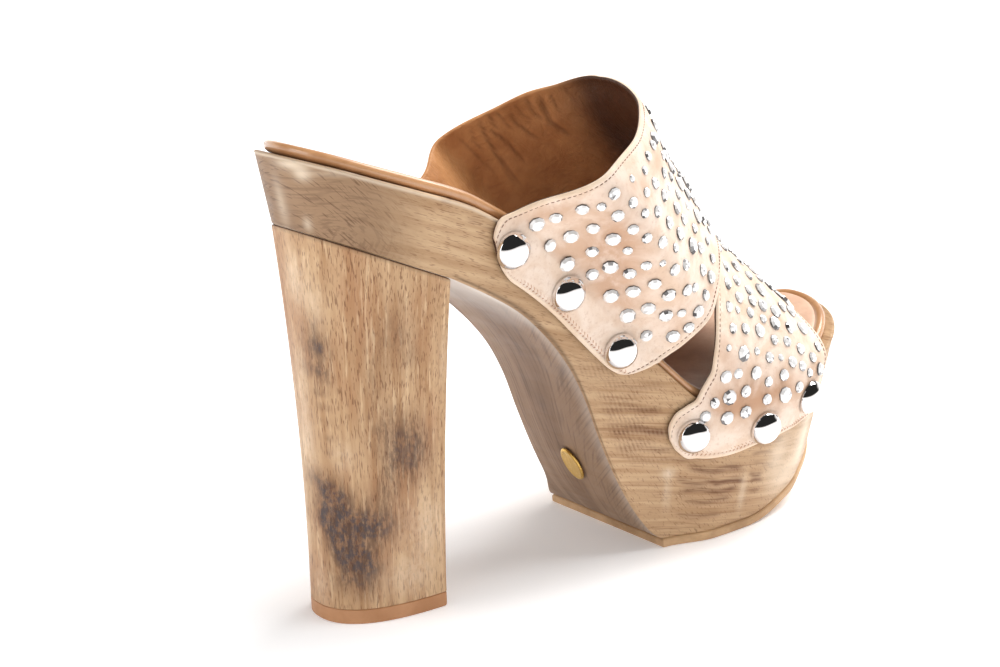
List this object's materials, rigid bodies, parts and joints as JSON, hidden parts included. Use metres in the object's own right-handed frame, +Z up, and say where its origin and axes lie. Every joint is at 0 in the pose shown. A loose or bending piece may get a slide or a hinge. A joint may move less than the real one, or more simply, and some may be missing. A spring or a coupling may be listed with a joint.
{
  "type": "platform mule sandal",
  "caption": "High-heeled open-toe slip-on sandal with a one-piece wooden platform and footbed, a tall block heel and two joined wide straps nailed to the wood's sides.",
  "frame": {"origin": "on the floor under the middle of the bounding box", "axes": "+X from heel to toe, +Y to the wearer's left, +Z up"},
  "size_m": [0.236, 0.102, 0.1579],
  "materials": {
    "wood": "waxed, open grain with darker stripes",
    "top_piece": "matt",
    "outsole": "matt sole leather",
    "insole": "smooth, satin",
    "upper": "fine nap, satin, set with small bright studs",
    "nail": "polished",
    "plate": "satin, plain"
  },
  "bodies": {
    "root": {"sole_platform": "wood", "heel_block": "wood", "heel_tip": "top_piece", "outsole": "outsole", "insole": "insole", "upper": "upper", "nail_instep_right_1": "nail", "nail_instep_right_2": "nail", "nail_instep_right_3": "nail", "nail_toe_right_1": "nail", "nail_toe_right_2": "nail", "nail_toe_right_3": "nail", "nail_instep_left_1": "nail", "nail_instep_left_2": "nail", "nail_instep_left_3": "nail", "nail_toe_left_1": "nail", "nail_toe_left_2": "nail", "nail_toe_left_3": "nail", "badge_plate": "plate"}
  },
  "joints": []
}
